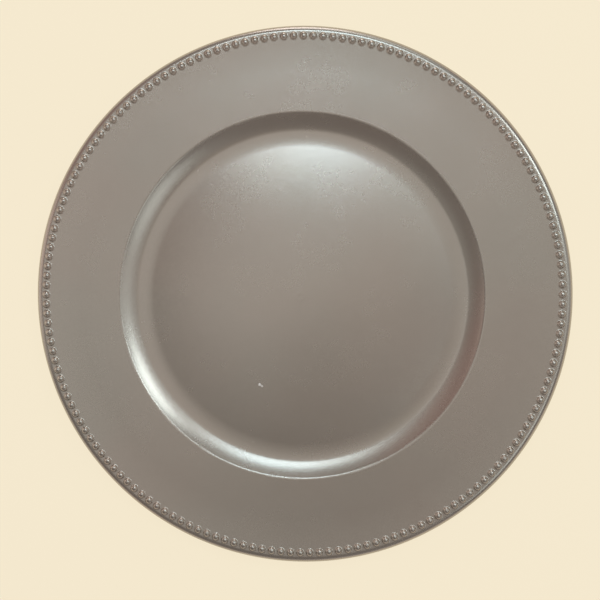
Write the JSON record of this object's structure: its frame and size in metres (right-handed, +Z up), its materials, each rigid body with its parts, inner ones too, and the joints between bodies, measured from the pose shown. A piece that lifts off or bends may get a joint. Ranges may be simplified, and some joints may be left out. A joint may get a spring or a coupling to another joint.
{
  "type": "charger plate",
  "caption": "Round charger plate with a shallow, slightly crowned well, a wide gently rising rim and a ring of small domed beads inside its rolled edge, on a low foot ring.",
  "frame": {"origin": "centre of the foot ring's resting face, so the plate stands on z = 0", "axes": "+Z up along the plate's axis of symmetry; the plate is round, so X and Y have no front or back"},
  "size_m": [0.33, 0.33, 0.016],
  "materials": {
    "satin_lacquer": "satin metallic lacquer in a warm grey champagne, over moulded plastic",
    "foot_lacquer": "the same lacquer, thinner and rubbed along the resting edge"
  },
  "bodies": {
    "root": {"well": "satin_lacquer", "rim": "satin_lacquer", "rim_beads": "satin_lacquer", "foot_ring": "foot_lacquer"}
  },
  "joints": []
}
